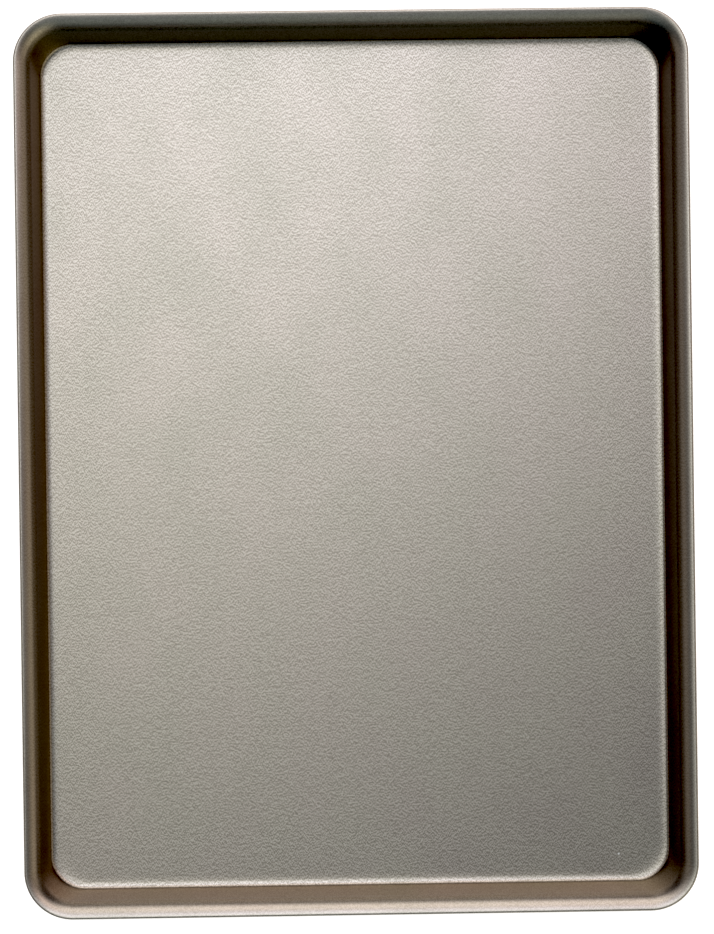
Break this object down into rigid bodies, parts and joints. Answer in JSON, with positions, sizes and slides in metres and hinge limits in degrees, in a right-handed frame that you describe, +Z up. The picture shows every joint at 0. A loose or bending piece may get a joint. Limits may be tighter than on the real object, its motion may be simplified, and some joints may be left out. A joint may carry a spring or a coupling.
{
  "type": "rectangular pizza pan",
  "caption": "Shallow rectangular pizza pan of pressed, coated sheet steel with leaning walls, rounded corners and a rolled rim stiffened by a hidden wire.",
  "frame": {"origin": "middle of the floor's underside, where the pan stands", "axes": "+Z up out of the open top, +Y along the long side, +X along the short side"},
  "size_m": [0.3, 0.402, 0.022],
  "materials": {
    "coated_sheet": "satin champagne-grey metallic baking coat with a fine grain",
    "wire_steel": "plain drawn steel wire"
  },
  "bodies": {
    "root": {"pan_shell": "coated_sheet", "rim_wire": "wire_steel"}
  },
  "joints": []
}
